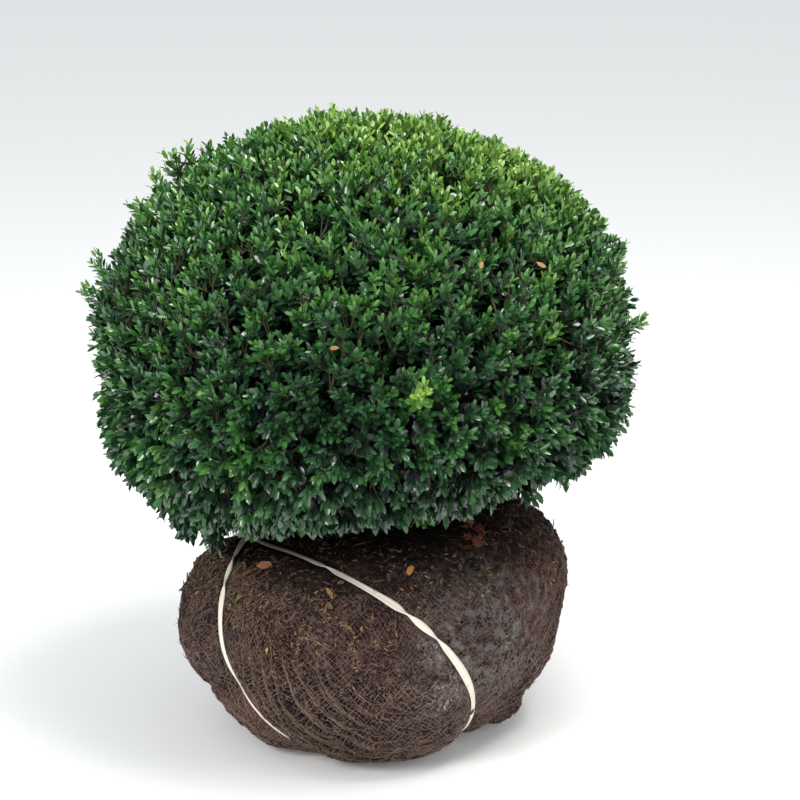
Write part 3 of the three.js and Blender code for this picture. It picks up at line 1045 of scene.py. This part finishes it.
colour = soil.mix(mould * 0.8, colour, paint("cbc5bf"))
# Dips of the relief are painted near-black: painted shade.
dip_shade = soil.add("ShaderNodeAttribute", {"attribute_name": "hollow"}, output="Fac")
colour = soil.mix(dip_shade * 0.85, colour, paint("0c0403"))
# The top round the trunk is painted near-black: the painted shadow of the crown.
crown_shadow_paint = near_place((0.0, 0.0, 0.29), 0.25)
colour = soil.mix(crown_shadow_paint * 0.9, colour, paint("0a0302"))
soil.set_surface(Base_Color=colour, Roughness=0.98 - 0.2 * fine)
soil.relief(fine * 0.7 + speck * 0.5, 0.0022)


def soil_piece(name, faces):
    """A part of the root ball's skin."""
    used, corners = np.unique(faces, return_inverse=True)
    piece = linked(name, mesh_of(name, ball_points[used], (), corners.reshape(-1, 3).tolist()))
    set_attribute(piece.data, "hollow", ball_dip_shade[used])
    piece.data.materials.append(soil.material)
    piece.data.polygons.foreach_set("use_smooth", [True] * len(faces))
    return placed(piece, "netted_soil", "root_ball")


in_front = ball_points[ball_faces, 1].mean(1) < 0.0
soil_piece("soil_front", ball_faces[in_front])
soil_piece("soil_back", ball_faces[~in_front])
ball_skin = BVHTree.FromPolygons(ball_points.tolist(), ball_faces.tolist())


def on_ball(ways, lift):
    """Points on the finished root ball, lifted a little off it."""
    distance = reach(ball_skin, BALL_CENTRE, ways)
    points = BALL_CENTRE + ways * (distance + lift)[:, None]
    points[:, 2] = np.maximum(points[:, 2], 0.0006)
    return points


# %% [markdown]
# ### The net
# The net is knitted from thin brown thread in cells of six or seven millimetres, and it hugs the
# soil. Two families of threads wind round the ball in opposite directions at a steady slant, so
# they make a lattice whose cells shrink towards the top and the foot, as a gathered net's do.
# Each thread wavers a little, because the cells are pulled out of shape.

# %% Net threads
NET_THREADS = 190
NET_POINTS = 84
# The thread is painted darker towards the top as shade under the crown: near-black in the shaded
# stretch round the stem, and darker in the upper stretch than in the lower.
STRETCHES = {  # how far each stretch of thread runs, as degrees from straight up, and its colour
    "shaded": (34, 64, "21120e"),
    "upper": (64, 92, "765d55"),
    "lower": (92, 141, "937b71"),
}


def net_family(slant, first, last, points):
    """Lines that wind round the ball: threads by points by 3."""
    polar = np.radians(np.linspace(first, last, points))
    start = np.arange(NET_THREADS) * (2 * math.pi / NET_THREADS)
    turn = start[:, None] + slant * np.log(np.tan(polar / 2))[None, :]
    turn = turn + rng.normal(0, 0.004, turn.shape)
    lean = polar[None, :] + rng.normal(0, 0.004, turn.shape)
    ways = np.stack([np.sin(lean) * np.cos(turn), np.sin(lean) * np.sin(turn), np.cos(lean)], -1)
    ways = ways.reshape(-1, 3)
    wobble = np.stack([patches(ways, 0.35, seed) for seed in (11, 12, 13)], 1)
    ways = unit(ways + 0.05 * wobble)
    sunk = 0.0001 + 0.0006 * patches(ways, 0.10, 14) + 0.0004 * patches(ways, 0.03, 15)
    return on_ball(ways, sunk).reshape(NET_THREADS, points, 3)


for stretch, (first, last, code) in STRETCHES.items():
    thread_finish = Finish(f"net_thread_{stretch}", paint(code), 0.8)
    points = round(NET_POINTS * (last - first) / 107)
    net_lines = np.concatenate([net_family(slant, first, last, points) for slant in (1.0, -1.0)])
    thickness = rng.uniform(0.22, 0.40, (len(net_lines), 1)) * np.ones((1, points)) * MM
    placed(drawn(f"net_{stretch}", net_lines, thickness, 3, thread_finish.material), "netted_soil")

# %% [markdown]
# Along the crests of the folds the net's threads and the roots are drawn together into pale
# strands. Each one follows an arc about its gather's hub for a few centimetres.

# %% Strands along the folds
STRANDS = {0: 190, 4: 60}  # by gather, and 30 for each of the others
STRAND_POINTS = 14
strand_finish = Finish("gathered_strand", paint("84705f"), 0.8)
strands = []
for number, gather in enumerate(GATHERS):
    count = STRANDS.get(number, 30)
    faces, right, up = flat_axes(gather)
    hub = np.array(gather["hub"])
    spots = rng.normal(0.0, 0.50 * gather["size"], (count, 2)) - hub
    turn = np.arctan2(spots[:, 1], spots[:, 0])
    crest = np.hypot(spots[:, 0], spots[:, 1]) / gather["step"]
    radius = (crest.round() + rng.normal(0.0, 0.20, count)) * gather["step"]
    sweep = rng.uniform(0.02, 0.08, count) / radius
    turn = turn[:, None] + sweep[:, None] * np.linspace(-0.5, 0.5, STRAND_POINTS)
    radius = radius[:, None] + rng.normal(0.0, 0.0008, turn.shape)
    across = hub[0] + radius * np.cos(turn)
    above = hub[1] + radius * np.sin(turn)
    ways = faces * BALL_RADIUS + across[..., None] * right + above[..., None] * up
    points = on_ball(unit(ways.reshape(-1, 3)), 0.0005)
    strands.append(points.reshape(count, STRAND_POINTS, 3))
strands = np.concatenate(strands)
taper = np.sin(np.linspace(0.15, math.pi - 0.15, STRAND_POINTS)) * 0.38 * MM
thickness = taper[None, :] * rng.uniform(0.6, 1.3, (len(strands), 1))
placed(drawn("gathered_strands", strands, thickness, 3, strand_finish.material), "netted_soil")

# %% [markdown]
# ### Fine roots
# Between soil and net lies a felt of roots as thin as hair, paler than the soil. A Geometry Nodes
# tree scatters points over the root ball, lays a short wavy root on each, and turns it any way
# within the surface.

# %% Scatter tree
scatter_graph, scatter_in = new_tree(
    "scatter_on_ball", ground="geometry", thing="object", density="number", smallest="number",
    largest="number", tilt="number", seed="count", material="material")
scatter_spots = scatter_graph.add("GeometryNodeDistributePointsOnFaces", None, {
    0: scatter_in["ground"], "Density": scatter_in["density"], "Seed": scatter_in["seed"]})
spots_node = scatter_spots.socket.node
scatter_flat = Value(scatter_graph, spots_node.outputs["Rotation"])
scatter_spin = scatter_graph.add("FunctionNodeRandomValue", {"data_type": "FLOAT"}, {
    2: 0.0, 3: 2 * math.pi, "Seed": scatter_in["seed"]}, 1)
scatter_lean = scatter_graph.add("FunctionNodeRandomValue", {"data_type": "FLOAT"}, {
    2: -1.0, 3: 1.0, "Seed": scatter_in["seed"] + 7}, 1) * scatter_in["tilt"]
scatter_angles = scatter_graph.add("ShaderNodeCombineXYZ", None, {0: scatter_lean, 2: scatter_spin})
scatter_turn = scatter_graph.add("FunctionNodeRotateRotation", {"rotation_space": "LOCAL"}, {
    "Rotation": scatter_flat,
    "Rotate By": scatter_graph.add("FunctionNodeEulerToRotation", None, {0: scatter_angles})})
scatter_size = scatter_graph.add("FunctionNodeRandomValue", {"data_type": "FLOAT"}, {
    2: scatter_in["smallest"], 3: scatter_in["largest"], "Seed": scatter_in["seed"] + 3}, 1)
scatter_copy = scatter_graph.add(
    "GeometryNodeObjectInfo", None, {"Object": scatter_in["thing"]}, "Geometry")
scatter_all = scatter_graph.add("GeometryNodeInstanceOnPoints", None, {
    "Points": scatter_spots, "Instance": scatter_copy, "Rotation": scatter_turn,
    "Scale": scatter_size})
close_tree(scatter_graph, scatter_all, scatter_in["material"])


ball_middles = ball_points[ball_faces].mean(1)
off_ties = tie_gap[ball_faces].min(1) > 0.0085


def scattered(name, keep, thing, density, sizes, tilt, seed, material):
    """Copies of a thing on the triangles of the root ball whose middle `keep` accepts."""
    wanted = ball_faces[keep(ball_middles) & off_ties]
    ground = mesh_of(name, ball_points, (), wanted.tolist())
    return grown(name, linked(name, ground), scatter_graph.tree, thing=thing, density=density,
                 smallest=sizes[0], largest=sizes[1], tilt=tilt, seed=seed, material=material)


# %% Roots
def wavy_root(name, waves, sway):
    """A root of length 1 that lies along X in a wavy line, in the limb tree's form."""
    along = np.linspace(-0.5, 0.5, 5)
    side = sway * np.sin(waves * math.pi * along + 0.6)
    line = np.stack([along, side, 0.02 * np.cos(2 * math.pi * along) - 0.004], 1)
    thickness = 0.016 * np.array([0.4, 0.9, 1.0, 0.9, 0.4])
    return drawn(name, line[None], thickness[None], 3, strand_finish.material)


def above_foot(middles):
    """The root ball clear of the floor."""
    return middles[:, 2] > 0.006


root_shapes = [wavy_root("root_a", 1.6, 0.11), wavy_root("root_b", 2.5, -0.08)]
pale_root = Finish("pale_root", paint("937c6c"), 0.8)
dark_root = Finish("dark_root", paint("2b1a15"), 0.8)
for name, shape, density, sizes, finish, seed in (
    ("fine_roots_pale", 0, 6500.0, (0.006, 0.018), pale_root, 4),
    ("fine_roots_dark", 1, 8000.0, (0.008, 0.022), dark_root, 9),
):
    piece = scattered(name, above_foot, root_shapes[shape], density, sizes, 0.06, seed,
                      finish.material)
    placed(piece, "netted_soil")

# %% [markdown]
# ### Litter on the shoulder
# Dead leaves, bits of bark and dry stalks have rained down on the root ball and stuck in the net,
# thickest on top and on the front of the left shoulder. The same scattering tree lays them. Most
# are slivers and crumbs of a few millimetres, and whole dead leaves are few.

# %% Litter
def in_the_open(middles):
    """The root ball outside the dark space round the stem."""
    return np.hypot(middles[:, 0] - 0.05, middles[:, 1] + 0.01) > 0.105


def on_left_front(middles):
    """The lit part of the left front, where the finest litter is thickest."""
    spot = np.linalg.norm(middles - np.array([-0.085, -0.175, 0.165]), axis=1)
    return (spot + 0.05 * patches(middles, 0.03, 23) < 0.080) & (middles[:, 2] > 0.12)


def on_shoulder(middles):
    """Where litter lies: the top, and the upper part of the left front."""
    height = middles[:, 2] + 0.030 * patches(middles, 0.045, 21)
    left = np.clip(0.06 - middles[:, 0], 0.0, 0.2) * 0.30
    return (height > 0.208 - left) & in_the_open(middles)


def on_left_shoulder(middles):
    """Where the straw lies: the back of the left shoulder."""
    return (middles[:, 2] > 0.165) & (middles[:, 0] < -0.12)


def chip_shape(name, half_width, lift):
    """A thin, bent scrap of bark with uneven ends, as long as 1."""
    outline = [(-0.5, -0.6), (-0.1, -1.0), (0.42, -0.8), (0.5, 0.3), (0.1, 1.0), (-0.4, 0.7)]
    top = [(x, y * half_width, lift * (1 - 4 * x * x) + 0.06) for x, y in outline]
    low = [(x, y, z - 0.08) for x, y, z in top]
    faces = [(0, 1, 2, 3, 4, 5), (11, 10, 9, 8, 7, 6)]
    faces += [(i, i + 6, (i + 1) % 6 + 6, (i + 1) % 6) for i in range(6)]
    return linked(name, mesh_of(name, top + low, (), faces))


chip = chip_shape("chip", 0.24, 0.10)
sliver = chip_shape("sliver", 0.13, 0.06)
stalk = chip_shape("stalk", 0.04, 0.04)
dead_leaf = leaf_shape("dead_leaf", 0.24, 0.10, -0.06, 0.7)
LITTER = [
    # name, shape, where, how many on a square metre, shortest and longest, tilt, seed, colour
    ("litter_tan", sliver, on_shoulder, 5200.0, (0.002, 0.007), 0.45, 31, "96704a"),
    ("litter_gold", sliver, on_shoulder, 1700.0, (0.002, 0.007), 0.45, 33, "ad8a52"),
    ("litter_crumbs", sliver, on_left_front, 7000.0, (0.002, 0.006), 0.6, 35, "9c7a50"),
    ("litter_leaves", dead_leaf, on_shoulder, 150.0, (0.009, 0.014), 0.4, 37, "6f6238"),
    ("litter_brown", dead_leaf, on_shoulder, 2600.0, (0.006, 0.012), 0.5, 41, "4a3529"),
    ("litter_rust", chip, on_shoulder, 900.0, (0.003, 0.007), 0.45, 43, "85543a"),
    ("litter_bark", chip, on_shoulder, 6500.0, (0.003, 0.009), 0.4, 47, "2b1b15"),
    ("litter_stalks", stalk, on_shoulder, 650.0, (0.008, 0.022), 0.2, 53, "6b5440"),
    ("litter_straw", stalk, on_left_shoulder, 8000.0, (0.008, 0.020), 0.30, 59, "6c573b"),
]
for name, shape, where, density, sizes, tilt, seed, code in LITTER:
    piece = scattered(name, where, shape, density, sizes, tilt, seed,
                      Finish(name, paint(code), 0.8).material)
    placed(piece, "netted_soil")

# %% Larger chips, laid one by one
CHIPS = [
    # name, place, length and width in mm, turn in degrees, colour
    ("chip_bark", (-116, -101, 224), 22, 12, 5, "b9815a"),
    ("chip_orange", (45, -161, 239), 12, 7, 62, "c08244"),
    ("chip_olive", (-150, -125, 198), 13, 7, 60, "77733a"),
    ("chip_sliver", (-42, -172, 215), 17, 4, -65, "a98a55"),
    ("chip_pale", (-95, -160, 150), 13, 4, 55, "bfa25c"),
    ("chip_brown", (-30, -163, 232), 8, 4, 15, "6d4a34"),
    ("clod_right", (218, -52, 203), 12, 11, 80, "1d1412"),
    ("bark_torn", (117, -112, 252), 18, 10, 75, "7d4733"),
    ("bark_torn_low", (108, -122, 250), 11, 6, 20, "5f3829"),
    ("tie_knot", (117, -140, 62), 13, 9, 25, "2a1c18"),
]


def laid_chip(name, place, length, width, turn, code):
    """One chip, turned and laid flat on the root ball."""
    spot, out, _, _ = ball_skin.find_nearest(Vector(place) * MM)
    faces, right, up = flat_axes({"faces": tuple(out)})
    angle = math.radians(turn)
    long_way = right * math.cos(angle) + up * math.sin(angle)
    wide_way = np.cross(faces, long_way)
    points = []
    for vertex in chip.data.vertices:
        x, y, z = vertex.co
        points.append(np.array(spot) + long_way * x * length * MM
                      + wide_way * y / 0.24 * width / 2 * MM + faces * (z + 0.10) * 0.010)
    mesh = mesh_of(name, points, (), [tuple(p.vertices) for p in chip.data.polygons])
    mesh.materials.append(Finish(name, paint(code), 0.75).material)
    return linked(name, mesh)


for entry in CHIPS:
    placed(laid_chip(*entry), "netted_soil")
for helper in (*root_shapes, chip, sliver, stalk, dead_leaf, *leaf_shapes.values()):
    bpy.data.objects.remove(helper)

# %% [markdown]
# ## The ties
# Each tie is a flat band of pale raffia, seven or eight millimetres wide, which cups a little and
# twists over on itself in a few places: there it shrinks to a thin cord and opens again. It is
# one band swept along the path that the model gives, laid on the finished root ball.

# %% Tie finish
band_finish = Finish("raffia_band", (0.7, 0.6, 0.45, 1), 0.6)
strip = band_finish.add("ShaderNodeUVMap", {"uv_map": "UVMap"})
stretched = band_finish.add("ShaderNodeMapping", None, {"Vector": strip, "Scale": (5.0, 0.5, 1.0)})
fibre = band_finish.grain(stretched, 1.6, 3.0, 0.5)
stain = band_finish.grain(band_finish.place(), 60.0, 3.0, 0.6)
cream = band_finish.ramp(fibre, (0.28, paint("dccfba")), (0.50, paint("f3e8d8")),
                         (0.72, paint("fbf4ea")))
band_finish.set_surface(
    Base_Color=band_finish.mix(band_finish.step(stain, 0.60, 0.78) * 0.4, cream, paint("8b7558")),
    Roughness=0.45 + 0.3 * fibre)
band_finish.relief(fibre, 0.00015)


# %% Bands
TURN_REACH = 0.011  # metres of band on each side of a twist over which it turns
PINCH_REACH = 0.010  # and over which it shrinks
ACROSS = 5  # points across a band


def band(name, path, twists, narrow, widest):
    """A closed flat band along a path, at most `widest` across and narrower low down. It turns
    over near each of the places in `twists`, an even number of times, so that its ends meet."""
    count = len(path)
    path = np.roll(path, -path[:, 2].argmin(), 0)  # the ends meet under the root ball
    path = np.array([ball_skin.find_nearest(Vector(p))[0] for p in path])
    path = rounded_off(path, 3)
    out = np.array([ball_skin.find_nearest(Vector(p))[1] for p in path])
    for _ in range(6):
        out = unit(np.roll(out, 1, 0) + out + np.roll(out, -1, 0))
    along = unit(np.roll(path, -1, 0) - np.roll(path, 1, 0))
    side = unit(np.cross(along, out))
    out = np.cross(side, along)
    step = np.linalg.norm(np.roll(path, -1, 0) - path, axis=1)
    run = np.concatenate([[0.0], np.cumsum(step)[:-1]])
    total = step.sum()
    roll = np.zeros(count)
    pinch = np.zeros(count)
    for place in twists:
        middle = run[np.linalg.norm(path - np.array(place), axis=1).argmin()]
        away = (run - middle + total / 2) % total - total / 2
        roll += math.pi * rise_between(run, middle - TURN_REACH, middle + TURN_REACH)
        pinch = np.maximum(pinch, np.exp(-((away / PINCH_REACH) ** 2)))
    half = widest / 2 * (1.0 + 0.12 * np.sin(run * 60.0)) * (1.0 - 0.72 * pinch)
    half *= 1.0 - narrow * (1.0 - rise_between(path[:, 2], 0.03, 0.13))
    half *= 1.0 - 0.3 * rise_between(path[:, 2], 0.20, 0.24)
    thick = 0.0004 + 0.0006 * pinch
    lift = 0.0019 + 0.0010 * pinch
    points, uvs = [], []
    for layer in (1.0, -1.0):
        for j in range(ACROSS):
            share = 2.0 * j / (ACROSS - 1) - 1.0
            cup = -0.0006 * (1 - share * share) * (1 - pinch)
            flat_side = share * half
            flat_out = cup + layer * thick
            turned_side = flat_side * np.cos(roll) - flat_out * np.sin(roll)
            turned_out = flat_side * np.sin(roll) + flat_out * np.cos(roll)
            points.append(path + side * turned_side[:, None] + out * (lift + turned_out)[:, None])
            uvs.append(np.stack([np.full(count, j / (ACROSS - 1)), run / 0.09], 1))
    points = np.array(points)
    ring = list(range(ACROSS)) + list(range(2 * ACROSS - 1, ACROSS - 1, -1))
    faces = []
    for i in range(count):
        after = (i + 1) % count
        for a, b in zip(ring, ring[1:] + ring[:1]):
            faces.append((a * count + i, a * count + after, b * count + after, b * count + i))
    points[..., 2] = np.maximum(points[..., 2], 0.0003)
    mesh = mesh_of(name, points.reshape(-1, 3), (), faces)
    uv_layer = mesh.uv_layers.new(name="UVMap")
    flat_uvs = np.array(uvs).reshape(-1, 2)
    corners = np.array([v for face in faces for v in face])
    uv_layer.data.foreach_set("uv", flat_uvs[corners].astype(np.float32).ravel())
    work = bmesh.new()
    work.from_mesh(mesh)
    bmesh.ops.recalc_face_normals(work, faces=work.faces)
    work.to_mesh(mesh)
    work.free()
    mesh.polygons.foreach_set("use_smooth", [True] * len(mesh.polygons))
    mesh.materials.append(band_finish.material)
    return linked(name, mesh)


left_twists = [(-0.152, -0.045, 0.210), (-0.16, -0.08, 0.195), (-0.10, 0.12, 0.20),
               (-0.14, 0.10, 0.05)]
right_twists = [(-0.045, -0.135, 0.233), (0.042, -0.190, 0.200), (0.074, -0.187, 0.170),
                (-0.05, 0.15, 0.15)]
placed(band("band_left", tie_paths["tie_left"], left_twists, 0.40, 0.0066), "tie_band", "tie_left")
placed(band("band_right", tie_paths["tie_right"], right_twists, 0.42, 0.0082), "tie_band",
       "tie_right")

# %% [markdown]
# ## The stem and the boughs
# Old box wood is grey-brown with a finely cracked bark. Each limb starts from a copy of its solid
# in the model. A voxel remesh turns it into an even skin, and a stretched noise pushes that skin
# in along fine upright cracks.

# %% Bark finish
bark = Finish("box_bark", (0.2, 0.16, 0.12, 1), 0.9)
crack = bark.grain(bark.place((1.0, 1.0, 0.22)), 420.0, 4.0, 0.65)
blotch = bark.grain(bark.place(), 60.0, 3.0)
bark_tone = bark.ramp(crack, (0.32, paint("2c2219")), (0.52, paint("6f5f4b")), (0.75, paint("978672")))
bark.set_surface(Base_Color=bark.mix(bark.step(blotch, 0.5, 0.7) * 0.5, bark_tone, paint("6a4a34")))
bark.relief(crack, 0.0008)


# %% Torn wood
torn_wood = Finish("torn_wood", (0.4, 0.2, 0.1, 1), 0.85)
tear = torn_wood.grain(torn_wood.place((1.0, 1.0, 0.15)), 300.0, 4.0, 0.7)
torn_wood.set_surface(Base_Color=torn_wood.ramp(
    tear, (0.34, paint("3a1f17")), (0.50, paint("7b4733")), (0.68, paint("ab7656"))))
torn_wood.relief(tear, 0.0010)

# %% [markdown]
# In front of the stub's foot its bark has been torn to rusty shreds. They fan out from two lines
# on the root ball, and each one is a limb of the limb tree, thick at the root and frayed thin.

# %% Shreds by the stub
TORN = [
    # start and end of the line they grow from, how many, longest in mm
    ((0.106, -0.104, 0.252), (0.124, -0.112, 0.250), 60, 12),
    ((0.108, -0.084, 0.254), (0.124, -0.088, 0.252), 60, 13),
]
shreds = []
for start, end, count, longest in TORN:
    along = rng.random((count, 1))
    feet = np.array(start) * (1 - along) + np.array(end) * along
    feet = np.array([ball_skin.find_nearest(Vector(p))[0] for p in feet])
    ways = unit(np.stack([rng.normal(0.15, 0.6, count), rng.normal(-0.45, 0.5, count),
                          rng.uniform(0.2, 1.2, count)], 1))
    tips = feet + ways * rng.uniform(0.3, 1.0, (count, 1)) * longest * MM
    shreds.append(curved(feet, ways, tips, unit(ways + rng.normal(0, 0.5, ways.shape)), 5))
shreds = np.concatenate(shreds)
shred_thickness = np.linspace(1.5, 0.35, 5) * MM * rng.uniform(0.4, 1.3, (len(shreds), 1))
placed(drawn("stub_shreds", shreds, shred_thickness, 4, torn_wood.material), "bark")


# %% Limbs with bark
def barked(node, voxel, depth, material=bark.material):
    """A limb's solid with an even skin and cracks in it."""
    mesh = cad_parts[node].data.copy()
    mesh.materials.clear()
    work = bmesh.new()
    work.from_mesh(mesh)
    bmesh.ops.remove_doubles(work, verts=work.verts, dist=1e-6)
    work.to_mesh(mesh)
    work.free()
    limb = linked(f"{node}_bark", mesh)
    remesh = limb.modifiers.new("even_skin", "REMESH")
    remesh.mode = "VOXEL"
    remesh.voxel_size = voxel
    depsgraph = bpy.context.evaluated_depsgraph_get()
    skin = bpy.data.meshes.new_from_object(limb.evaluated_get(depsgraph), depsgraph=depsgraph)
    bpy.data.objects.remove(limb)
    points = np.array([v.co for v in skin.vertices])
    normals = np.array([v.normal for v in skin.vertices])
    upright = points * np.array([1.0, 1.0, 0.25])
    push = depth * (patches(upright, 0.006, 51) + 0.6 * patches(upright, 0.003, 52))
    points = points + normals * push[:, None]
    skin.vertices.foreach_set("co", points.astype(np.float32).ravel())
    skin.polygons.foreach_set("use_smooth", [True] * len(skin.polygons))
    skin.materials.append(material)
    return linked(f"{node}_bark", skin)


placed(barked("main_stem", 0.0016, 0.0011), "bark", "main_stem")
placed(barked("low_stub", 0.0010, 0.0016, torn_wood.material), "bark", "low_stub")
for name in BOUGHS:
    placed(barked(name, 0.0011, 0.0007), "bark", name)

# %% [markdown]
# ## The size of the looks
# The looks should stay inside the model's box, give or take a few leaves; the cell prints how far they
# reach past it.

# %% Size
seen_low, seen_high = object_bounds()
sizes = {
    "cad": [list(cad_low), list(cad_high)],
    "visual": [list(seen_low), list(seen_high)],
}
print("grew by", [round((b - a) / MM, 1) for a, b in zip(cad_high, seen_high)], "mm above and",
      [round((a - b) / MM, 1) for a, b in zip(cad_low, seen_low)], "mm below")
